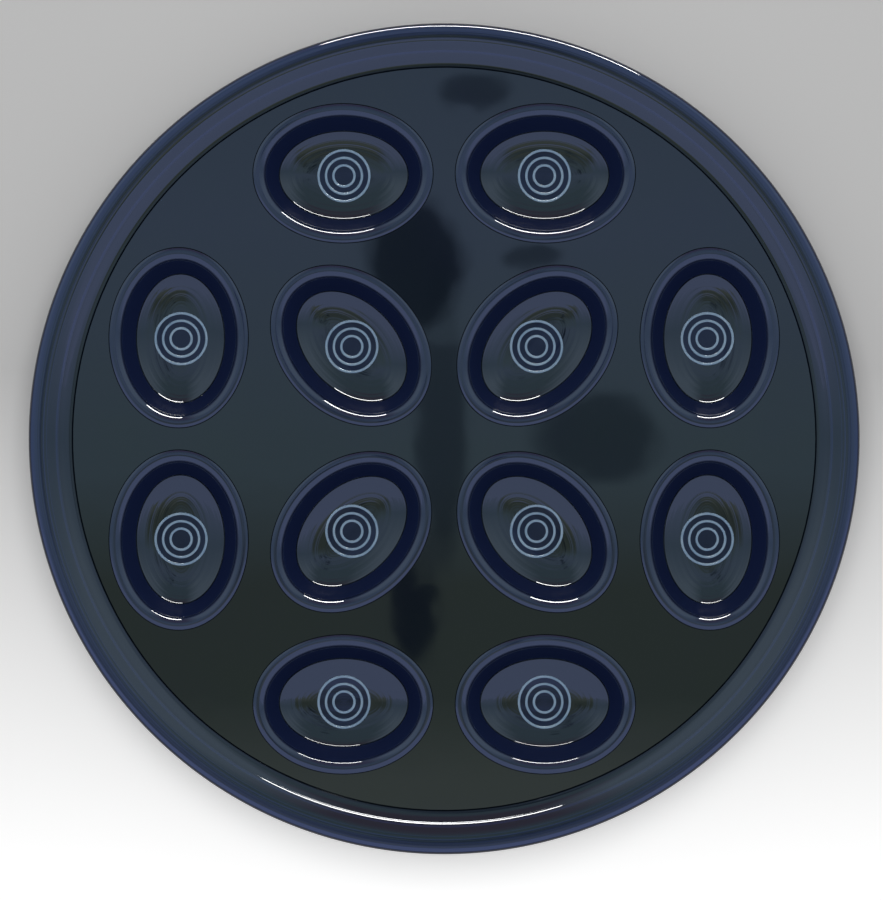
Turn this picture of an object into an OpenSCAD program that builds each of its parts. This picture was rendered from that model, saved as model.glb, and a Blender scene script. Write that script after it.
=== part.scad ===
// Round egg platter in glazed stoneware: a flat deck with twelve oval well cups set into it,
// a coved rim with a rolled lip, and a foot ring. All sizes are in millimetres.
// The platter lies flat with +Z up and its origin at the middle of the foot.

/* [Deck] */
// Thickness of the deck
deck_t = 5; // [4:0.1:6.5]

/* [Rim] */
// Width of the rim, from the edge of the deck to the outside of the lip
rim_w = 15.3; // [11:0.1:24]
// Radius of the cove between deck and rim
cove_r = 6.4; // [3:0.1:8]
// Steepest slope of the rim, where the cove turns into the roll
rim_slope = 40; // [32:1:65]
// Radius of the outer edge of the lip
lip_r = 2.2; // [1.6:0.1:3]
// Depth of the fine line turned in the rim beside the deck
line_d = 0.5; // [0.2:0.1:0.8]

/* [Foot] */
// Width of the foot ring
foot_w = 5; // [3:0.1:8]
// How far the foot ring reaches out past the seam between deck and rim
foot_overlap = 1; // [0.5:0.1:2]
// Gap between the foot ring and the cups that hang inside it
foot_gap = 1.5; // [0.5:0.1:10]
// Chamfer on the lower edges of the foot
foot_chamfer = 0.7; // [0.3:0.1:1.2]
// Gap between the table and the undersides of the wells
well_clearance = 1.2; // [0.5:0.1:4]

/* [Wells] */
// Half the long axis of a well at deck level
well_half_long = 28; // [23:0.1:36]
// Half the short axis of a well at deck level
well_half_short = 20.8; // [17:0.1:26]
// Depth of a well below the deck
well_depth = 10.5; // [8:0.1:14]
// Slope of the well's side wall
well_slope = 58; // [50:1:75]
// Radius between side wall and floor
well_fillet = 2; // [1.5:0.1:4]
// Radius of the dished floor
dish_r = 36; // [28:1:70]
// Thickness of a well's wall and floor
well_t = 5; // [4:0.1:6.5]

/* [Collars] */
// Height of the bead round a well above the deck
collar_h = 0.4; // [0.3:0.1:1.5]
// Section radius of the bead
collar_r = 3.4; // [2.2:0.1:4.5]
// How far the bead laps over the deck round the cut-out that its cup is set into
collar_lap = 0.5; // [0.3:0.05:1.2]
// Joint between a cup and the deck
seam = 0.05; // [0:0.01:0.2]

/* [Layout] */
// Distance from the middle of the platter to the collar of an inner well
inner_gap = 14.7; // [10:0.1:26]
// Distance between the collars of the inner wells and the rows of outer wells
row_gap = 7.6; // [3:0.1:18]
// Distance between the collars of an outer pair
pair_gap = 7.8; // [3:0.1:24]

/* [Rings] */
// Radius of the smallest ring in a well
ring_first_r = 3.75; // [2.5:0.05:5]
// Step from one ring to the next
ring_pitch = 2.65; // [2:0.05:3.5]
// Number of rings in a well
ring_count = 3; // [1:1:3]
// Width of a ring
ring_w = 0.9; // [0.5:0.05:1.2]
// Height of a ring's crest above the floor
ring_proud = 0.25; // [0.1:0.05:0.5]
// Depth of the groove that a ring is laid into
ring_bed = 0.5; // [0.4:0.05:1]

/* [Hidden] */
$fn = 96;
// A fillet's circle is this share larger than the tangent one, so that it crosses the faces it blends
blend = 0.0005;
// Overlap of shapes that are fused
lap = 0.5;
// Size of the blocks that clip a profile or a sector
far = 200;

// Heights
deck_z = well_clearance + well_t + well_depth;
under_z = deck_z - deck_t;

// A well is a four-centre oval on a 3-4-5 triangle: the end centres lie three units along the
// long axis, the side centres four units across it, and the two radii differ by five units.
oval_unit = (well_half_long - well_half_short) / 2;
end_x = 3 * oval_unit;
side_y = 4 * oval_unit;
radius_step = 5 * oval_unit;
end_r = well_half_long - end_x;

// Well profile: x runs outwards from the oval's inner centre lines, z up from the deck
wall_up = [cos(well_slope), sin(well_slope)];
wall_in = [-sin(well_slope), cos(well_slope)];
edge = [end_r, 0];
// The dish is cut off flat in the middle by this much
dish_flat = 0.05;
dish_mid = [0, dish_r - well_depth - dish_flat];
fillet_from = edge + well_fillet * wall_in - dish_mid;
fillet_along = fillet_from * wall_up;
fillet_reach = dish_r - well_fillet;
fillet_down = fillet_along + sqrt(pow(fillet_along, 2) - fillet_from * fillet_from + pow(fillet_reach, 2));
fillet_mid = edge + well_fillet * wall_in - fillet_down * wall_up;
dish_out = (fillet_mid - dish_mid) / fillet_reach;

// Collar: a bead that is tangent to the well's side wall and covers the edge of the cut-out
collar_slide = (collar_h - collar_r + collar_r * cos(well_slope)) / sin(well_slope);
collar_mid = edge - collar_r * wall_in + collar_slide * wall_up;
collar_seam_z = collar_mid.y + collar_r * cos(well_slope);
collar_w = collar_mid.x - edge.x + sqrt(pow(collar_r, 2) - pow(collar_mid.y, 2));
cutout_gap = collar_w - collar_lap;

// Layout: from the middle out, by the gaps between the collars
inner_reach = inner_gap + collar_w + well_half_long;
inner_top = (inner_reach + end_x) / sqrt(2) + end_r + collar_w;
outer_row = inner_top + row_gap + collar_w + well_half_short;
outer_half_gap = pair_gap / 2 + collar_w + well_half_long;

// Foot and deck: the foot ring goes round the outer cups, and the deck ends above it
cup_reach = max(cutout_gap, well_t / sin(well_slope) - deck_t / tan(well_slope));
outer_reach = norm([outer_half_gap, outer_row - side_y]) + radius_step + end_r;
foot_in = outer_reach + cup_reach + foot_gap;
foot_out = foot_in + foot_w;
deck_r = foot_out - foot_overlap;

// Rim: the cove rises to the steepest slope, and from there a wider arc rolls over to the crest of the lip
rim_in = [-sin(rim_slope), cos(rim_slope)];
cove_mid = [deck_r, deck_z + cove_r];
roll_r = (rim_w - lip_r) / sin(rim_slope) - cove_r;
roll_mid = cove_mid - (cove_r + roll_r) * rim_in;
lip_mid = roll_mid + [0, roll_r - lip_r];

// Place and turn of each well: four pairs along the rim, with their long axes along it,
// then four inner wells with their long axes pointing at the middle
pair_places = [for (turn = [0:90:270], side = [-1, 1]) [side * outer_half_gap, outer_row, turn, 0]];
inner_places = [for (turn = [0:90:270]) [inner_reach, 0, turn, 45]];
well_places = concat(pair_places, inner_places);
well_count = len(well_places);

function ring_r(i) = ring_first_r + i * ring_pitch;
// Highest point of the dished floor under a ring
function ring_floor(i) = let (out = max(0, ring_r(i) + end_r - well_half_short))
    dish_mid.y - sqrt(pow(dish_r, 2) - pow(out, 2));

cobalt = "#1d2b55";
pale_slip = "#9fb6cc";

// Puts the children where a well lies
module at_well(place) {
    rotate(place[2]) rotate(place[3]) translate([place[0], place[1]]) children();
}

// Sectors that one side of the oval turns through, and one end
module side_sector() {
    polygon([[0, -side_y], [9 * end_x, 8 * side_y], [-9 * end_x, 8 * side_y]]);
}

module end_sector() {
    polygon([[end_x, 0], [8 * end_x, 7 * side_y], [8 * end_x, -7 * side_y]]);
}

// Sweeps a profile round one side of the oval, or one end, from x = 0 at its inner centre line
module side_sweep() {
    intersection() {
        translate([0, -side_y, 0]) rotate_extrude(angle = 90, start = 45)
            translate([radius_step, 0]) children();
        linear_extrude(far, center = true) side_sector();
    }
}

module end_sweep() {
    intersection() {
        translate([end_x, 0, 0]) rotate_extrude(angle = 180, start = -90) children();
        linear_extrude(far, center = true) end_sector();
    }
}

// The lens in the middle of the oval that the sweeps leave open
module oval_core(bottom, top) {
    translate([0, 0, bottom]) linear_extrude(top - bottom) intersection_for (side = [-1, 1])
        translate([0, side * side_y]) circle(radius_step + lap);
}

// Outline of the oval, grown by a distance all round
module oval_outline(grow) {
    for (turn = [0, 180]) rotate(turn) {
        intersection() {
            translate([0, -side_y]) circle(radius_step + end_r + grow);
            side_sector();
        }
        intersection() {
            translate([end_x, 0]) circle(end_r + grow);
            end_sector();
        }
    }
}

// Half section of a well's hollow, grown by skin all round and cut off at a level
module well_section(skin, top) {
    wall_foot = edge - skin * wall_in - far * wall_up;
    wall_head = edge - skin * wall_in + far * wall_up;
    difference() {
        intersection() {
            translate(dish_mid) circle(dish_r + skin);
            polygon([wall_foot, wall_head, wall_head + far * wall_in, wall_foot + far * wall_in]);
            translate([0, -well_depth - skin]) square([far, well_depth + skin + top]);
        }
        difference() {
            polygon([
                fillet_mid,
                fillet_mid + far * dish_out,
                fillet_mid + far * (dish_out - wall_in),
                fillet_mid - far * wall_in
            ]);
            translate(fillet_mid) circle((well_fillet + skin) * (1 + blend));
        }
    }
}

// Half section of a cup: wall, floor, the block that fills the deck's cut-out, and the collar
module cup_section() {
    difference() {
        union() {
            well_section(well_t, collar_seam_z);
            intersection() {
                translate(collar_mid) circle(collar_r * (1 + blend));
                translate([0, -deck_t]) square(far);
            }
            translate([collar_mid.x, -deck_t]) square([edge.x + cutout_gap - collar_mid.x, deck_t]);
        }
        translate([edge.x + cutout_gap, -deck_t]) square([far, deck_t]);
        well_section(0, well_depth);
    }
}

// Half section of one ring, round-topped, standing in its groove
module ring_section(i) {
    crest_z = ring_floor(i) + ring_proud - ring_w / 2;
    bed_z = -well_depth - ring_bed;
    translate([ring_r(i) - ring_w / 2, bed_z]) square([ring_w, crest_z - bed_z]);
    translate([ring_r(i), crest_z]) circle(ring_w / 2 * (1 + blend));
}

// Flat disc with a cut-out for each cup
module deck() {
    color(cobalt) translate([0, 0, under_z]) linear_extrude(deck_t) difference() {
        circle(deck_r);
        for (place = well_places) at_well(place) oval_outline(cutout_gap + seam);
    }
}

// Coved rim with a rolled lip and a fine line at its inner edge, joined to the edge of the deck
module rim() {
    bend = cove_mid - cove_r * rim_in;
    lip_outer = lip_mid - lip_r * rim_in;
    under_x = lip_outer.x - (lip_outer.y - under_z) / tan(rim_slope);
    color(cobalt) rotate_extrude() difference() {
        union() {
            difference() {
                translate([deck_r, under_z]) square([bend.x + lap - deck_r, bend.y - under_z]);
                translate(cove_mid) circle(cove_r * (1 + blend));
            }
            intersection() {
                polygon([
                    [bend.x - lap, under_z],
                    [under_x, under_z],
                    lip_outer,
                    lip_mid,
                    [lip_mid.x, deck_z + far],
                    [bend.x - lap, deck_z + far]
                ]);
                translate(roll_mid) circle(roll_r);
            }
            translate(lip_mid) circle(lip_r * (1 + blend));
        }
        polygon([
            [deck_r - line_d, deck_z - 2 * line_d],
            [deck_r + 2 * line_d, deck_z + line_d],
            [deck_r - line_d, deck_z + line_d]
        ]);
    }
}

// Foot ring under the seam between deck and rim
module foot_ring() {
    color(cobalt) rotate_extrude() polygon([
        [foot_in, under_z],
        [foot_in, foot_chamfer],
        [foot_in + foot_chamfer, 0],
        [foot_out - foot_chamfer, 0],
        [foot_out, foot_chamfer],
        [foot_out, under_z]
    ]);
}

// Oval cup with a beaded collar, grooved for its rings
module egg_well(place) {
    color(cobalt) translate([0, 0, deck_z]) at_well(place) difference() {
        union() {
            side_sweep() cup_section();
            rotate(180) side_sweep() cup_section();
            end_sweep() cup_section();
            rotate(180) end_sweep() cup_section();
            oval_core(-well_depth - well_t, -well_depth);
        }
        for (i = [0:ring_count - 1]) rotate_extrude() ring_section(i);
    }
}

// Concentric rings of pale slip laid into the floor of a cup
module slip_rings(place) {
    color(pale_slip) translate([0, 0, deck_z]) at_well(place)
        for (i = [0:ring_count - 1]) rotate_extrude() ring_section(i);
}

deck();
rim();
foot_ring();
for (i = [1:well_count]) {
    egg_well(well_places[i - 1]);
    slip_rings(well_places[i - 1]);
}
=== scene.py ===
import math

import bpy
from mathutils import Matrix, Vector


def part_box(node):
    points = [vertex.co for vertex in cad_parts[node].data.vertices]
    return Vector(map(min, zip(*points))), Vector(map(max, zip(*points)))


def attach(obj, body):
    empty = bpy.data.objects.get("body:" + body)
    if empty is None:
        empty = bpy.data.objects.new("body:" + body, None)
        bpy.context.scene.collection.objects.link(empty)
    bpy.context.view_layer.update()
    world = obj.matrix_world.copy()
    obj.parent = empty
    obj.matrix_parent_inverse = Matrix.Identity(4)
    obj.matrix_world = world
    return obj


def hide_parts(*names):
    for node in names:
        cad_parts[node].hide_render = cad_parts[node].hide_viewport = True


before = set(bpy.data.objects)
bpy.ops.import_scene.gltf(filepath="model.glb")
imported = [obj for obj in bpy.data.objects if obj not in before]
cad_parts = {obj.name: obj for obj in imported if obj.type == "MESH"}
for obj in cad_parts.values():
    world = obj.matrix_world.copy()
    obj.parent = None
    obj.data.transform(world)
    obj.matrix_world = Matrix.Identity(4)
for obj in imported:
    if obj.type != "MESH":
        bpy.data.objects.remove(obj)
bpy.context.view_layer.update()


# Deck: the flat disc of the platter, stoneware under a dark cobalt glaze. Its oval cut-outs are
# covered by the collars of the egg wells. The CAD disc is true to shape, so it only gets its glaze.
MM = 0.001


def linear(hex_colour):
    """Linear RGBA of an sRGB hex colour."""
    channels = [int(hex_colour[i:i + 2], 16) / 255 for i in (1, 3, 5)]
    return [c / 12.92 if c <= 0.04045 else ((c + 0.055) / 1.055) ** 2.4 for c in channels] + [1.0]


def add_node(tree, kind, inputs, **settings):
    """Adds a node, sets it up, and links or fills its inputs."""
    made = tree.nodes.new(kind)
    for name, value in settings.items():
        setattr(made, name, value)
    for name, value in inputs.items():
        if isinstance(value, bpy.types.NodeSocket):
            tree.links.new(value, made.inputs[name])
        else:
            made.inputs[name].default_value = value
    return made


# Sockets of a colour Mix node, which has several of the same name
MIX_A, MIX_B, MIX_OUT = 6, 7, 2
# The rim begins at this radius. Outside it throwing lines show blue, and thin glaze stays glossy.
RIM_FROM_R = 133 * MM


def cobalt_glaze():
    """Glassy cobalt glaze, dipped and fired: near black where it lies thick, bluer where it runs thin and,
    as painted light, on the walls of the wells; satin on those walls, and darker and dull in a crease, from
    pooled glaze and painted shade; with a faint mottle, slight waves and the throwing lines of the clay
    below."""
    material = bpy.data.materials.new("cobalt_glaze")
    material.use_nodes = True
    tree = material.node_tree
    shader = tree.nodes["Principled BSDF"]
    # The darkest tint goes into creases and corners, for pooled glaze and as painted shade.
    full_coat, thin_coat, pooled_and_shade = linear("#080e20"), linear("#1c274e"), linear("#03050c")
    mottle_tint = linear("#0b161c")
    mottle_mm, wave_mm, line_mm = 30, 14, 1.2
    ridge_thin, rings_thin, rings_dull = 0.8, 0.4, 0.5
    glossy, glossy_rough = 0.5, 0.035
    satin, satin_rough = 0.02, 0.4
    turns_satin = {"From Min": 0.48, "From Max": 0.6}
    crease_share = 0.1
    place = add_node(tree, "ShaderNodeTexCoord", {}).outputs["Object"]
    coat_with_light_and_shade = add_node(tree, "ShaderNodeAttribute", {}, attribute_name="thin").outputs["Fac"]
    ringed = add_node(tree, "ShaderNodeAttribute", {}, attribute_name="ringed").outputs["Fac"]
    in_rings = add_node(
        tree, "ShaderNodeMapRange", {"Value": ringed, "From Min": 0.0, "From Max": 0.3 * MM})
    turned = add_node(tree, "ShaderNodeAttribute", {}, attribute_name="turned").outputs["Fac"]
    lines = add_node(
        tree, "ShaderNodeTexNoise", {"W": turned, "Scale": 1 / (line_mm * MM), "Detail": 2.0},
        noise_dimensions="1D")
    ridge = add_node(
        tree, "ShaderNodeMapRange",
        {"Value": lines.outputs["Fac"], "From Min": 0.5, "From Max": 0.7, "To Max": ridge_thin})
    on_rim = add_node(tree, "ShaderNodeMath", {0: turned, 1: RIM_FROM_R}, operation="GREATER_THAN")
    on_ridge = add_node(
        tree, "ShaderNodeMath", {0: ridge.outputs["Result"], 1: on_rim.outputs[0], 2: coat_with_light_and_shade},
        operation="MULTIPLY_ADD")
    thin = add_node(
        tree, "ShaderNodeMath", {0: in_rings.outputs["Result"], 1: rings_thin, 2: on_ridge.outputs[0]},
        operation="MULTIPLY_ADD").outputs[0]
    mottle = add_node(
        tree, "ShaderNodeTexNoise", {"Vector": place, "Scale": 1 / (mottle_mm * MM), "Detail": 4.0})
    coat = add_node(
        tree, "ShaderNodeMix", {0: mottle.outputs["Fac"], MIX_A: full_coat, MIX_B: mottle_tint},
        data_type="RGBA")
    over_edge = add_node(
        tree, "ShaderNodeMix", {0: thin, MIX_A: coat.outputs[MIX_OUT], MIX_B: thin_coat}, data_type="RGBA")
    # Below 0 the thin mark darkens the colour, for pooled glaze and as painted shade, and dulls the gloss.
    depth = add_node(tree, "ShaderNodeMath", {0: thin, 1: -1.0}, operation="MULTIPLY", use_clamp=True)
    crease_pool_and_shade = add_node(
        tree, "ShaderNodeMix", {0: depth.outputs[0], MIX_A: over_edge.outputs[MIX_OUT], MIX_B: pooled_and_shade},
        data_type="RGBA")
    off_rim = add_node(tree, "ShaderNodeMath", {0: 1.0, 1: on_rim.outputs[0]}, operation="SUBTRACT")
    wall = add_node(
        tree, "ShaderNodeMath", {0: coat_with_light_and_shade, 1: off_rim.outputs[0]}, operation="MULTIPLY").outputs[0]
    rough = add_node(
        tree, "ShaderNodeMapRange",
        {"Value": wall, **turns_satin, "To Min": glossy_rough, "To Max": satin_rough})
    thin_gloss = add_node(
        tree, "ShaderNodeMapRange", {"Value": wall, **turns_satin, "To Min": glossy, "To Max": satin})
    crease_gloss = add_node(
        tree, "ShaderNodeMapRange",
        {"Value": depth.outputs[0], "From Min": 0.5, "From Max": 1.0, "To Min": 1.0, "To Max": crease_share})
    ring_gloss = add_node(
        tree, "ShaderNodeMath", {0: in_rings.outputs["Result"], 1: -rings_dull, 2: 1.0},
        operation="MULTIPLY_ADD")
    less_gloss = add_node(
        tree, "ShaderNodeMath", {0: crease_gloss.outputs["Result"], 1: ring_gloss.outputs[0]},
        operation="MULTIPLY")
    gloss = add_node(
        tree, "ShaderNodeMath", {0: thin_gloss.outputs["Result"], 1: less_gloss.outputs[0]},
        operation="MULTIPLY")
    wave = add_node(tree, "ShaderNodeTexNoise", {"Vector": place, "Scale": 1 / (wave_mm * MM), "Detail": 1.0})
    wavy = add_node(
        tree, "ShaderNodeBump", {"Height": wave.outputs["Fac"], "Strength": 0.25, "Distance": 0.08 * MM})
    lined = add_node(
        tree, "ShaderNodeBump", {"Height": lines.outputs["Fac"], "Strength": 0.5, "Distance": 0.12 * MM,
                                 "Normal": wavy.outputs["Normal"]})
    tree.links.new(crease_pool_and_shade.outputs[MIX_OUT], shader.inputs["Base Color"])
    tree.links.new(rough.outputs["Result"], shader.inputs["Roughness"])
    tree.links.new(gloss.outputs[0], shader.inputs["Specular IOR Level"])
    tree.links.new(lined.outputs["Normal"], shader.inputs["Normal"])
    shader.inputs["IOR"].default_value = 1.52
    return material


glaze = cobalt_glaze()
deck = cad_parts["deck"]
deck.data.materials.clear()
deck.data.materials.append(glaze)
deck_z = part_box("deck")[1].z
deck_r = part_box("deck")[1].x
deck_t = deck_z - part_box("deck")[0].z


# Egg wells: twelve oval cups of glazed stoneware, pressed and set into the deck. Each has a dished floor,
# a steep wall and a low beaded collar. The glaze runs thin on wall and collar and pools in the corners;
# the walls also carry painted light that lifts their shade, and the corners carry painted shade.
WELL_SLOPE = math.radians(58)
WELL_DEPTH = 10.5 * MM
WELL_T = 5.0 * MM
DISH_R = 36.0 * MM
FLOOR_FILLET = 2.0 * MM
COLLAR_W = 3.7346 * MM
COLLAR_H = 0.4 * MM
COLLAR_R = 3.4 * MM
CREASE_R = 1.0 * MM
CUTOUT_GAP = 3.23 * MM
BOSS_FILLET = 6.0 * MM
BOSS_RISE = 1.2 * MM
BOSS_SLOPE = math.radians(9)
RING_FIELD_R = 9.5 * MM
WELL_STEPS = 176
# Length of the flat lens in the middle of a floor, as a multiple of the well's length less its width
LENS_SHARE = 1.5
# Glaze on a well, from 1 where it is thin to -1 where it has pooled. The wall's value is set higher as
# painted light, and the fillet's and crease's values below 0 also paint shade.
WALL_THIN_AND_LIGHT, BEAD_GLAZE = 0.62, 0.45
FILLET_GLAZE, CREASE_GLAZE = -0.4, -1.0


def arc(mid, radius, start, end, steps):
    """Points on an arc, from one angle to another in degrees."""
    turns = [math.radians(start + (end - start) * i / steps) for i in range(steps + 1)]
    return [(mid[0] + radius * math.cos(t), mid[1] + radius * math.sin(t)) for t in turns]


def raise_shell(name, loops, steps):
    """Raises a shell from a circle by extruding it loop by loop. A loop is its half length, half width,
    height and glaze: 1 where the glaze is thin, -1 where it has pooled. The values on the walls of the wells
    also hold painted light, and those below 0 hold painted shade. Throwing lines follow the loops."""
    bpy.ops.object.select_all(action="DESELECT")
    bpy.ops.mesh.primitive_circle_add(vertices=steps, radius=1)
    shell = bpy.context.object
    shell.name = shell.data.name = name
    bpy.ops.object.mode_set(mode="EDIT")
    bpy.ops.mesh.select_all(action="SELECT")
    bpy.ops.transform.resize(value=(loops[0][0], loops[0][1], 1), center_override=(0, 0, 0))
    bpy.ops.transform.translate(value=(0, 0, loops[0][2]))
    for last, loop in zip(loops, loops[1:]):
        bpy.ops.mesh.extrude_edges_move()
        growth = (loop[0] / last[0], loop[1] / last[1], 1)
        bpy.ops.transform.resize(value=growth, center_override=(0, 0, last[2]))
        bpy.ops.transform.translate(value=(0, 0, loop[2] - last[2]))
    bpy.ops.object.mode_set(mode="OBJECT")
    thin = shell.data.attributes.new("thin", "FLOAT", "POINT")
    thin.data.foreach_set("value", [loop[3] for loop in loops for _ in range(steps)])
    turned = shell.data.attributes.new("turned", "FLOAT", "POINT")
    turned.data.foreach_set("value", [loop[0] for loop in loops for _ in range(steps)])
    return shell


def select_loops(shell, numbers, steps):
    """Selects some of a shell's loops and enters edit mode."""
    bpy.ops.object.mode_set(mode="EDIT")
    bpy.ops.mesh.select_all(action="DESELECT")
    bpy.ops.object.mode_set(mode="OBJECT")
    for number in numbers:
        for vertex in shell.data.vertices[number * steps:(number + 1) * steps]:
            vertex.select = True
    bpy.ops.object.mode_set(mode="EDIT")


def finish_shell(shell):
    """Turns the faces outwards and shades them smooth up to a sharp corner."""
    bpy.ops.object.mode_set(mode="EDIT")
    bpy.ops.mesh.select_all(action="SELECT")
    bpy.ops.mesh.normals_make_consistent(inside=False)
    bpy.ops.object.mode_set(mode="OBJECT")
    bpy.ops.object.shade_smooth_by_angle(angle=math.radians(40))


def floor_height(out):
    """Height of the dished floor, at a distance out from the lens in its middle that is flat."""
    return DISH_R - WELL_DEPTH - math.sqrt(DISH_R ** 2 - out ** 2)


def egg_well():
    """One cup at the origin, with its deck level at height 0 and its long axis along X. Its loops are ovals
    that lie a distance out from the flat lens. Also gives the lens's half length and half width."""
    low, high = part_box("egg_well_1")
    half_long = (high.x - low.x) / 2 - COLLAR_W
    half_short = (high.y - low.y) / 2 - COLLAR_W
    edge = half_long - LENS_SHARE * (half_long - half_short)
    lens_long, lens_short = half_long - edge, half_short - edge
    slope = math.degrees(WELL_SLOPE)
    wall_up = Vector((math.cos(WELL_SLOPE), math.sin(WELL_SLOPE)))
    wall_in = Vector((-wall_up.y, wall_up.x))

    def ovals(points, thin):
        return [(lens_long + out, lens_short + out, z, thin) for out, z in points]

    from_dish = Vector((edge, WELL_DEPTH - DISH_R)) + FLOOR_FILLET * wall_in
    along = from_dish.dot(wall_up)
    down = along + math.sqrt(along ** 2 - from_dish.length_squared + (DISH_R - FLOOR_FILLET) ** 2)
    to_fillet = from_dish - down * wall_up
    floor_turn = math.degrees(math.atan2(to_fillet.y, to_fillet.x))
    fillet = arc(to_fillet + Vector((0, DISH_R - WELL_DEPTH)), FLOOR_FILLET, floor_turn, slope - 90, 12)
    bead_slide = (COLLAR_H - COLLAR_R + COLLAR_R * math.cos(WELL_SLOPE)) / math.sin(WELL_SLOPE)
    bead_mid = Vector((edge, 0)) - COLLAR_R * wall_in + bead_slide * wall_up
    crease_turn = math.degrees(math.asin((CREASE_R - bead_mid.y) / (COLLAR_R + CREASE_R)))
    bead = arc(bead_mid, COLLAR_R, slope + 90, crease_turn, 16)
    crease_mid = (bead_mid.x + (COLLAR_R + CREASE_R) * math.cos(math.radians(crease_turn)), CREASE_R)
    crease = arc(crease_mid, CREASE_R, crease_turn + 180, 270, 6)

    loops = [(lens_long * s, lens_short * s, -WELL_DEPTH, 0) for s in (0.03, 0.25, 0.5, 0.75)]
    floor_reach = [fillet[0][0] * i / 16 for i in range(16)]
    loops += ovals([(out, floor_height(out)) for out in floor_reach], 0)
    # The fillet is darkened, for pooled glaze and as painted shade.
    loops += ovals(fillet[:-1], FILLET_GLAZE)
    # The wall's thin blue is partly painted light, lifting the shade of the steep wall.
    for rise in (0, 0.25, 0.5, 0.75, 0.97):
        loops += ovals([[a + (b - a) * rise for a, b in zip(fillet[-1], bead[0])]], WALL_THIN_AND_LIGHT)
    loops += ovals(bead, BEAD_GLAZE)
    # The crease is darkened, for pooled glaze and as painted shade.
    loops += ovals(crease[1:-1], CREASE_GLAZE)
    flange = crease[-1][0]
    tuck, sag, bed = 0.5 * MM, 0.02 * MM, 0.25 * MM
    joint = edge + CUTOUT_GAP
    loops += ovals([crease[-1], (flange + tuck, -sag), (flange + tuck, -bed), (joint, -bed)], 0)
    boss_z = BOSS_RISE - WELL_DEPTH - WELL_T
    boss_mid_z = boss_z + BOSS_FILLET * math.cos(BOSS_SLOPE)
    boss_run = (boss_mid_z + deck_t) / math.tan(WELL_SLOPE) - BOSS_FILLET / math.sin(WELL_SLOPE)
    boss = arc((joint + boss_run, boss_mid_z), BOSS_FILLET, slope - 90, math.degrees(BOSS_SLOPE) - 90, 10)
    loops += ovals([(joint, -deck_t)] + boss, 0)
    boss_long, boss_short = lens_long + boss[-1][0], lens_short + boss[-1][0]
    for s in [i / 8 for i in range(7, 0, -1)] + [0.02]:
        loops.append((boss_long * s, boss_short * s, boss_z - BOSS_RISE * (1 - s * s), 0))
    cup = raise_shell("egg_well", loops, WELL_STEPS)
    ringed = cup.data.attributes.new("ringed", "FLOAT", "POINT")
    for vertex in cup.data.vertices:
        if vertex.co.z > -WELL_DEPTH - MM:
            ringed.data[vertex.index].value = RING_FIELD_R - vertex.co.xy.length
    for number in (len(loops) - 1, 0):
        select_loops(cup, [number], WELL_STEPS)
        bpy.ops.mesh.merge(type="COLLAPSE")
        bpy.ops.object.mode_set(mode="OBJECT")
    finish_shell(cup)
    return cup, lens_long, lens_short


def well_place(node):
    """Turn and move that bring a cup from the origin to a CAD cup's place, in line with its long axis."""
    low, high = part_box(node)
    mid = (low + high) / 2
    wide = (high.x - low.x) - (high.y - low.y)
    if abs(wide) < MM:
        turn = math.atan2(mid.y, mid.x)
    else:
        turn = 0 if wide > 0 else math.pi / 2
    return Matrix.Translation((mid.x, mid.y, deck_z)) @ Matrix.Rotation(turn, 4, "Z")


def copy_to(pattern, name, place):
    """A copy of a piece with a mesh of its own, moved into place."""
    piece = bpy.data.objects.new(name, pattern.data.copy())
    piece.data.name = name
    piece.data.transform(place)
    bpy.context.scene.collection.objects.link(piece)
    return piece


WELL_COUNT = 12
cup_pattern, lens_long, lens_short = egg_well()
cup_pattern.data.materials.append(glaze)
for number in range(1, WELL_COUNT + 1):
    node = f"egg_well_{number}"
    cup = copy_to(cup_pattern, f"well_cup_{number}", well_place(node))
    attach(cup, "root")
    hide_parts(node)
bpy.data.objects.remove(cup_pattern)


# Slip rings: three concentric beads of pale slip trailed onto the floor of each well before glazing.
# They stand a quarter of a millimetre proud, so the clear part of the glaze runs off their crests.
RING_RADII = [3.75 * MM, 6.4 * MM, 9.05 * MM]
RING_W = 0.9 * MM
RING_H = 0.25 * MM


def pale_slip():
    """Pale blue-grey slip under a thin gloss: bluer where the glaze has stayed on it."""
    material = bpy.data.materials.new("pale_slip")
    material.use_nodes = True
    tree = material.node_tree
    shader = tree.nodes["Principled BSDF"]
    bare, tinted = linear("#9cb2c4"), linear("#5f7f9f")
    patch_mm = 5
    place = add_node(tree, "ShaderNodeTexCoord", {}).outputs["Object"]
    patch = add_node(
        tree, "ShaderNodeTexNoise", {"Vector": place, "Scale": 1 / (patch_mm * MM), "Detail": 3.0})
    colour = add_node(
        tree, "ShaderNodeMix", {0: patch.outputs["Fac"], MIX_A: bare, MIX_B: tinted}, data_type="RGBA")
    tree.links.new(colour.outputs[MIX_OUT], shader.inputs["Base Color"])
    shader.inputs["Roughness"].default_value = 0.2
    shader.inputs["IOR"].default_value = 1.5
    return material


def floor_out(x, y):
    """How far out from the flat lens the oval through a place on the floor lies, by halving."""
    low, high = 0, DISH_R
    for _ in range(24):
        out = (low + high) / 2
        inside = (x / (lens_long + out)) ** 2 + (y / (lens_short + out)) ** 2 < 1
        low, high = (low, out) if inside else (out, high)
    return low


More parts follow.
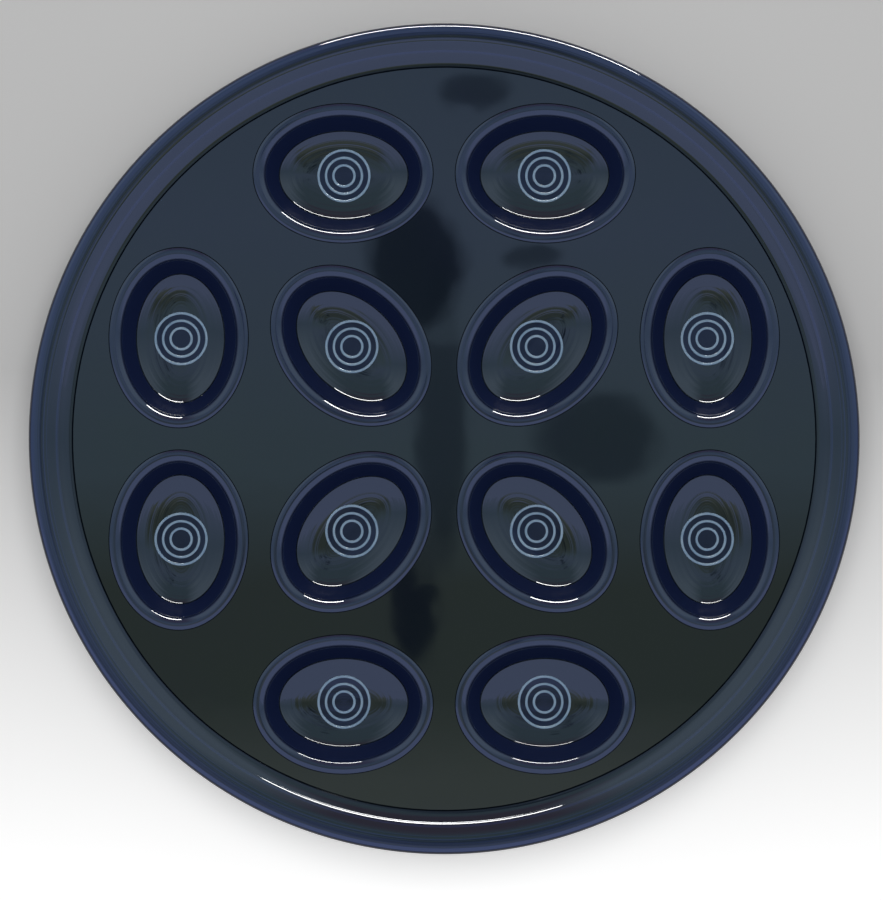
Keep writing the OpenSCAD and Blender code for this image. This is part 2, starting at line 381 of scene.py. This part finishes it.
def slip_rings():
    """One set of rings, lying on the dished floor of the cup at the origin."""
    rings = []
    for radius in RING_RADII:
        bpy.ops.object.select_all(action="DESELECT")
        bpy.ops.mesh.primitive_torus_add(
            major_radius=radius, minor_radius=RING_W / 2, major_segments=144, minor_segments=16)
        rings.append(bpy.context.object)
        bpy.ops.object.mode_set(mode="EDIT")
        bpy.ops.mesh.select_all(action="SELECT")
        bpy.ops.transform.resize(value=(1, 1, RING_H / (RING_W / 2)), center_override=(0, 0, 0))
        bpy.ops.object.mode_set(mode="OBJECT")
    for ring in rings:
        ring.select_set(True)
    bpy.ops.object.join()
    joined = bpy.context.object
    for vertex in joined.data.vertices:
        vertex.co.z += floor_height(floor_out(vertex.co.x, vertex.co.y))
    bpy.ops.object.shade_smooth()
    return joined


slip = pale_slip()
ring_pattern = slip_rings()
ring_pattern.data.materials.clear()
ring_pattern.data.materials.append(slip)
for number in range(1, WELL_COUNT + 1):
    rings = copy_to(ring_pattern, f"well_rings_{number}", well_place(f"egg_well_{number}"))
    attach(rings, "root")
    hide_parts(f"slip_rings_{number}")
bpy.data.objects.remove(ring_pattern)


# Rim: a cove that rises from the deck and rolls over in a wide arc to a rounded lip, thrown in one ring.
# A fine turned line parts it from the deck; it and the cove are darkened, for pooled glaze and as painted
# shade, and the glaze runs thin and blue over the crest.
RIM_SLOPE = math.radians(40)
COVE_R = 6.4 * MM
LIP_R = 2.2 * MM
LINE_D = 0.5 * MM
# Below 0 these darken the turned line and the cove, for pooled glaze and as painted shade.
LINE_GLAZE, COVE_GLAZE = -0.5, -0.2
THIN_HALF_W = 3.0 * MM
RIM_CORNER_R = 1.5 * MM
RIM_STEPS = 360
# Keeps a piece inside the CAD box in spite of rounding
HAIR = 0.002 * MM


def close_ring(shell):
    """Joins a ring's last loop to its first."""
    select_loops(shell, [0, len(shell.data.vertices) // RIM_STEPS - 1], RIM_STEPS)
    bpy.ops.mesh.select_mode(type="EDGE")
    bpy.ops.mesh.bridge_edge_loops()
    bpy.ops.mesh.select_mode(type="VERT")
    bpy.ops.object.mode_set(mode="OBJECT")
    finish_shell(shell)


def rim():
    """The rim in its place, from the turned line over the lip and back along its underside."""
    low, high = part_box("rim")
    slope = math.degrees(RIM_SLOPE)
    crest_x = high.x - LIP_R
    roll_r = (crest_x - deck_r) / math.sin(RIM_SLOPE) - COVE_R
    flank_out, flank_down, line_w = LINE_D * 0.7, LINE_D * 0.4, LINE_D * 1.1
    line = [(deck_r, deck_z - LINE_D), (deck_r + flank_out, deck_z - flank_down)]
    cove_start = math.degrees(math.asin(line_w / COVE_R))
    cove = arc((deck_r, deck_z + COVE_R), COVE_R, cove_start - 90, slope - 90, 12)
    crest_z = high.z - HAIR
    roll = arc((crest_x, crest_z - roll_r), roll_r, slope + 90, 90, 24)
    lip = arc((crest_x, crest_z - LIP_R), LIP_R, 90, slope - 90, 20)
    under_run = (lip[-1][1] - low.z) / math.tan(RIM_SLOPE)
    corner_x = lip[-1][0] - under_run - RIM_CORNER_R * math.tan(RIM_SLOPE / 2)
    corner = arc((corner_x, low.z + RIM_CORNER_R), RIM_CORNER_R, slope - 90, -90, 5)
    loops = [(r, r, z, LINE_GLAZE) for r, z in line]
    loops += [(r, r, z, COVE_GLAZE) for r, z in cove]
    for r, z in roll[1:] + lip[1:]:
        loops.append((r, r, z, max(0, 1 - abs(r - crest_x) / THIN_HALF_W)))
    loops += [(r, r, z, 0) for r, z in corner]
    loops.append((deck_r, deck_r, low.z, 0))
    ring = raise_shell("platter_rim", loops, RIM_STEPS)
    close_ring(ring)
    return ring


platter_rim = rim()
platter_rim.data.materials.append(glaze)
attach(platter_rim, "root")
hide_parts("rim")


# Foot ring: the turned ring that the platter stands on, luted under the edge of the deck.
# It is glazed down to a wiped edge, where the bare buff stoneware shows.
FOOT_W = 5.0 * MM
DRY_FOOT_H = 1.8 * MM
GLAZE_WAVER = 0.8 * MM
FOOT_EDGE_R = 0.8 * MM
FOOT_FLARE_R = 1.0 * MM


def wiped_foot():
    """The glaze, ending in an uneven edge above dry buff stoneware with fine grit."""
    material = glaze.copy()
    material.name = "wiped_foot"
    tree = material.node_tree
    glazed = tree.nodes["Principled BSDF"]
    output = tree.nodes["Material Output"]
    clay, clay_dark = linear("#b9a48a"), linear("#8f7a62")
    grit_mm, edge_mm = 1.5, 12
    place = add_node(tree, "ShaderNodeTexCoord", {}).outputs["Object"]
    grit = add_node(
        tree, "ShaderNodeTexNoise", {"Vector": place, "Scale": 1 / (grit_mm * MM), "Detail": 6.0})
    tint = add_node(
        tree, "ShaderNodeMix", {0: grit.outputs["Fac"], MIX_A: clay_dark, MIX_B: clay}, data_type="RGBA")
    bump = add_node(
        tree, "ShaderNodeBump", {"Height": grit.outputs["Fac"], "Strength": 0.5, "Distance": 0.15 * MM})
    dry = add_node(
        tree, "ShaderNodeBsdfPrincipled",
        {"Base Color": tint.outputs[MIX_OUT], "Roughness": 0.85, "Normal": bump.outputs["Normal"]})
    edge = add_node(tree, "ShaderNodeTexNoise", {"Vector": place, "Scale": 1 / (edge_mm * MM)})
    height = add_node(tree, "ShaderNodeSeparateXYZ", {0: place}).outputs["Z"]
    waver = add_node(tree, "ShaderNodeMath", {0: edge.outputs["Fac"], 1: GLAZE_WAVER}, operation="MULTIPLY")
    line = add_node(tree, "ShaderNodeMath", {0: height, 1: waver.outputs[0]}, operation="ADD")
    above = add_node(
        tree, "ShaderNodeMath", {0: line.outputs[0], 1: DRY_FOOT_H + GLAZE_WAVER / 2},
        operation="GREATER_THAN")
    mixed = add_node(
        tree, "ShaderNodeMixShader", {0: above.outputs[0], 1: dry.outputs[0], 2: glazed.outputs[0]})
    tree.links.new(mixed.outputs[0], output.inputs["Surface"])
    return material


def foot_ring():
    """The foot in its place, flaring a little where it meets the deck and the rim."""
    low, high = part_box("foot_ring")
    rim_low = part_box("rim")[0].z
    outer = high.x
    inner = outer - FOOT_W
    flare_z = rim_low - FOOT_FLARE_R
    points = arc((outer + FOOT_FLARE_R, flare_z), FOOT_FLARE_R, 90, 180, 6)
    edge_z = low.z + HAIR + FOOT_EDGE_R
    points += arc((outer - FOOT_EDGE_R, edge_z), FOOT_EDGE_R, 0, -90, 6)
    points += arc((inner + FOOT_EDGE_R, edge_z), FOOT_EDGE_R, -90, -180, 6)
    points += arc((inner - FOOT_FLARE_R, flare_z), FOOT_FLARE_R, 0, 90, 6)
    ring = raise_shell("platter_foot", [(r, r, z, 0) for r, z in points], RIM_STEPS)
    close_ring(ring)
    return ring


platter_foot = foot_ring()
platter_foot.data.materials.append(wiped_foot())
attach(platter_foot, "root")
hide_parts("foot_ring")


# Studio: a paper sweep with painted light, grey at the far side and white and glowing at the near one,
# a soft key lamp, a strip lamp that shows as thin highlights, and a dim room whose tinted walls show in the
# glaze.
FLOOR_SIZE = 8.0
ROOM_STRENGTH = 2.2


def paper_sweep():
    """Matt paper with painted light: grey at the far side and white at the near one, where the camera sees it
    glow a little, for light that falls off across the sweep.
    """
    material = bpy.data.materials.new("paper_sweep")
    material.use_nodes = True
    tree = material.node_tree
    shader = tree.nodes["Principled BSDF"]
    grey, white, glow_most = linear("#dadada"), linear("#f2f2f2"), 0.6
    grey_from_y, white_from_y = 0.025, -0.2
    place = add_node(tree, "ShaderNodeTexCoord", {}).outputs["Object"]
    away = add_node(tree, "ShaderNodeSeparateXYZ", {0: place}).outputs["Y"]
    near = add_node(
        tree, "ShaderNodeMapRange", {"Value": away, "From Min": grey_from_y, "From Max": white_from_y},
    ).outputs["Result"]
    # Painted light: the tint and the camera-only glow brighten towards the near side, for the fall of light
    # across the sweep.
    tint = add_node(tree, "ShaderNodeMix", {0: near, MIX_A: grey, MIX_B: white}, data_type="RGBA")
    seen = add_node(tree, "ShaderNodeLightPath", {}).outputs["Is Camera Ray"]
    glow = add_node(tree, "ShaderNodeMath", {0: near, 1: seen}, operation="MULTIPLY")
    strength = add_node(tree, "ShaderNodeMath", {0: glow.outputs[0], 1: glow_most}, operation="MULTIPLY")
    tree.links.new(tint.outputs[MIX_OUT], shader.inputs["Base Color"])
    tree.links.new(strength.outputs[0], shader.inputs["Emission Strength"])
    shader.inputs["Emission Color"].default_value = (1, 1, 1, 1)
    shader.inputs["Roughness"].default_value = 0.9
    shader.inputs["Specular IOR Level"].default_value = 0.0
    return material


bpy.ops.object.select_all(action="DESELECT")
bpy.ops.mesh.primitive_plane_add(size=FLOOR_SIZE)
floor = bpy.context.object
floor.name = "floor"
floor.data.materials.append(paper_sweep())


def panel_lamp(name, place, aim, size, power):
    """A rectangular lamp that the camera doesn't see, facing a point."""
    data = bpy.data.lights.new(name, "AREA")
    data.shape = "RECTANGLE"
    data.size, data.size_y = size
    data.energy = power
    lamp = bpy.data.objects.new(name, data)
    lamp.location = place
    lamp.rotation_euler = (Vector(aim) - Vector(place)).to_track_quat("-Z", "Y").to_euler()
    lamp.visible_camera = False
    bpy.context.scene.collection.objects.link(lamp)
    return lamp


middle = (0, 0, deck_z)
key_lamp = panel_lamp("key_lamp", place=(0, 0.28, 1.1), aim=middle, size=(0.8, 0.8), power=5.1)
key_lamp.visible_glossy = False
strip_lamp = panel_lamp(
    "strip_lamp", place=(0.055, 0.6, deck_z + 0.229), aim=middle, size=(0.5, 0.075), power=6.5)
strip_lamp.visible_diffuse = False

world = bpy.data.worlds.new("dim_room")
bpy.context.scene.world = world
world.use_nodes = True
room = world.node_tree
room_shader = room.nodes["Background"]
toward = add_node(room, "ShaderNodeTexCoord", {}).outputs["Generated"]
sides = add_node(room, "ShaderNodeSeparateXYZ", {0: toward})
share = add_node(
    room, "ShaderNodeMapRange", {"Value": sides.outputs["Y"], "From Min": -1.0, "From Max": 1.0},
).outputs["Result"]


def wall_ramp(stops):
    """Tints of the room's walls, as the glaze mirrors them, from the near side round to the far one.
    A stop is the Y of a direction and its tint."""
    ramp = add_node(room, "ShaderNodeValToRGB", {"Fac": share})
    tints = ramp.color_ramp.elements
    for end, (y, tint) in zip(tints, (stops[0], stops[-1])):
        end.position, end.color = (y + 1) / 2, linear(tint)
    for y, tint in stops[1:-1]:
        tints.new((y + 1) / 2).color = linear(tint)
    return ramp.outputs["Color"]


middle_walls = wall_ramp((
    (-0.5, "#afc0ff"), (-0.34, "#93a8cc"), (-0.12, "#8499a6"), (0.0, "#8aa3ae"), (0.07, "#90a6c5"),
    (0.3, "#7c95a2"), (0.5, "#7c95a2"), (0.62, "#7e758a"), (1.0, "#787480")))
side_walls = wall_ramp(((-0.3, "#adc0f2"), (0.0, "#8aa3bd"), (0.3, "#abc3da")))
aside = add_node(room, "ShaderNodeMath", {0: sides.outputs["X"]}, operation="ABSOLUTE").outputs[0]
off_middle = add_node(room, "ShaderNodeMapRange", {"Value": aside, "From Min": 0.2, "From Max": 0.4})
upper_room = add_node(
    room, "ShaderNodeMix", {0: off_middle.outputs["Result"], MIX_A: middle_walls, MIX_B: side_walls},
    data_type="RGBA")
low_down = add_node(
    room, "ShaderNodeMapRange", {"Value": sides.outputs["Z"], "From Min": 0.36, "From Max": 0.22})
mirrored = add_node(
    room, "ShaderNodeMix",
    {0: low_down.outputs["Result"], MIX_A: upper_room.outputs[MIX_OUT], MIX_B: linear("#6a727c")},
    data_type="RGBA")
path = add_node(room, "ShaderNodeLightPath", {})
room_light = add_node(
    room, "ShaderNodeMix",
    {0: path.outputs["Is Glossy Ray"], MIX_A: linear("#707070"), MIX_B: mirrored.outputs[MIX_OUT]},
    data_type="RGBA")
background = add_node(
    room, "ShaderNodeMix",
    {0: path.outputs["Is Camera Ray"], MIX_A: room_light.outputs[MIX_OUT], MIX_B: linear("#8f8f8f")},
    data_type="RGBA")
room.links.new(background.outputs[MIX_OUT], room_shader.inputs["Color"])
room_shader.inputs["Strength"].default_value = ROOM_STRENGTH

bpy.context.scene.view_settings.view_transform = "Standard"


# Camera: straight above the platter, as the photograph looks at it, a little off its middle. The cards
# round it stand for the room's ceiling and for the camera on its stand, which the glaze mirrors.
IMAGE_H = 900
LIP_RADIUS_PX = 415.5
OFF_CENTRE_PX = Vector((2.7, 11.2))
CAMERA_REACH = 1.1
rim_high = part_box("rim")[1]
px_size = rim_high.x / LIP_RADIUS_PX
camera_data = bpy.data.cameras.new("camera")
camera_data.sensor_width = 36
camera_data.lens = camera_data.sensor_width * (CAMERA_REACH / px_size) / IMAGE_H
camera = bpy.data.objects.new("camera", camera_data)
camera.location = (
    -OFF_CENTRE_PX.x * px_size, -OFF_CENTRE_PX.y * px_size, rim_high.z - LIP_R + CAMERA_REACH)
bpy.context.scene.collection.objects.link(camera)
bpy.context.scene.camera = camera


def dark_card(name, cover_most):
    """Matt black that thins out towards the card's uneven edge."""
    material = bpy.data.materials.new(name)
    material.use_nodes = True
    tree = material.node_tree
    shader = tree.nodes["Principled BSDF"]
    coords = add_node(tree, "ShaderNodeTexCoord", {})
    from_mid = add_node(
        tree, "ShaderNodeVectorMath", {0: coords.outputs["UV"], 1: (0.5, 0.5, 0)}, operation="SUBTRACT")
    reach = add_node(
        tree, "ShaderNodeVectorMath", {0: from_mid.outputs[0]}, operation="LENGTH").outputs["Value"]
    ragged = add_node(tree, "ShaderNodeTexNoise", {"Vector": coords.outputs["Object"], "Scale": 20.0})
    shifted = add_node(
        tree, "ShaderNodeMath", {0: ragged.outputs["Fac"], 1: -0.2, 2: reach}, operation="MULTIPLY_ADD")
    cover = add_node(
        tree, "ShaderNodeMapRange",
        {"Value": shifted.outputs[0], "From Min": 0.38, "From Max": 0.24, "To Max": cover_most})
    shader.inputs["Base Color"].default_value = linear("#14181c")
    shader.inputs["Roughness"].default_value = 0.8
    tree.links.new(cover.outputs["Result"], shader.inputs["Alpha"])
    return material


def glow_card(name, edge_y, half_w, fade, tints, turn):
    """Card that glows in one tint along its edge over the platter and in another further off, turning
    between two depths. It fades in along that edge and at its ends."""
    material = bpy.data.materials.new(name)
    material.use_nodes = True
    tree = material.node_tree
    place = add_node(tree, "ShaderNodeTexCoord", {}).outputs["Object"]
    sides = add_node(tree, "ShaderNodeSeparateXYZ", {0: place})
    depth = add_node(
        tree, "ShaderNodeMath", {0: edge_y, 1: sides.outputs["Y"]}, operation="SUBTRACT").outputs[0]
    aside = add_node(tree, "ShaderNodeMath", {0: sides.outputs["X"]}, operation="ABSOLUTE").outputs[0]
    from_end = add_node(tree, "ShaderNodeMath", {0: half_w, 1: aside}, operation="SUBTRACT").outputs[0]
    from_edge = add_node(tree, "ShaderNodeMath", {0: depth, 1: from_end}, operation="MINIMUM").outputs[0]
    cover = add_node(tree, "ShaderNodeMapRange", {"Value": from_edge, "From Min": 0.0, "From Max": fade})
    far = add_node(tree, "ShaderNodeMapRange", {"Value": depth, "From Min": turn[0], "From Max": turn[1]})
    tint = add_node(
        tree, "ShaderNodeMix",
        {0: far.outputs["Result"], MIX_A: linear(tints[0]), MIX_B: linear(tints[1])}, data_type="RGBA")
    glow = add_node(tree, "ShaderNodeEmission", {"Color": tint.outputs[MIX_OUT], "Strength": ROOM_STRENGTH})
    clear = add_node(tree, "ShaderNodeBsdfTransparent", {})
    mixed = add_node(
        tree, "ShaderNodeMixShader", {0: cover.outputs["Result"], 1: clear.outputs[0], 2: glow.outputs[0]})
    tree.links.new(mixed.outputs[0], tree.nodes["Material Output"].inputs["Surface"])
    return material


def hang_card(name, place, size, material):
    """A card that hangs level over the platter and shows only in its reflections."""
    bpy.ops.object.select_all(action="DESELECT")
    bpy.ops.mesh.primitive_plane_add(size=1)
    card = bpy.context.object
    card.name = name
    card.data.transform(Matrix.Translation(place) @ Matrix.Diagonal((*size, 1, 1)))
    card.data.materials.append(material)
    card.visible_camera = card.visible_diffuse = card.visible_shadow = False


PALE_EDGE_Y = -0.235
pale_tint = glow_card(
    "pale_card", PALE_EDGE_Y, half_w=2.0, fade=0.01, tints=("#adc0f2", "#adc0f2"), turn=(0.0, 1.0))
hang_card("pale_card", (0, PALE_EDGE_Y - 1.2, deck_z + 0.89), (4.0, 2.4), pale_tint)
GREEN_EDGE_Y = -0.02
green_tint = glow_card(
    "green_card", GREEN_EDGE_Y, half_w=0.36, fade=0.08, tints=("#738070", "#94a094"), turn=(0.16, 0.22))
hang_card("green_card", (0, GREEN_EDGE_Y - 0.3, camera.location.z + 0.03), (0.72, 0.6), green_tint)
black_cover, grey_cover = dark_card("black_card", 0.85), dark_card("grey_card", 0.6)
for name, x, y, size, cover in (
        ("camera_card", 0.11, 0.006, (0.105, 0.08), grey_cover),
        ("stand_card", 0.0, 0.02, (0.042, 0.24), grey_cover),
        ("arm_card", -0.02, 0.127, (0.08, 0.11), black_cover),
        ("leg_card", -0.02, -0.113, (0.04, 0.11), black_cover),
        ("boom_card", 0.024, 0.25, (0.065, 0.033), grey_cover),
        ("clamp_card", 0.064, 0.133, (0.05, 0.02), grey_cover)):
    hang_card(name, (x, y, camera.location.z + 0.01), size, cover)
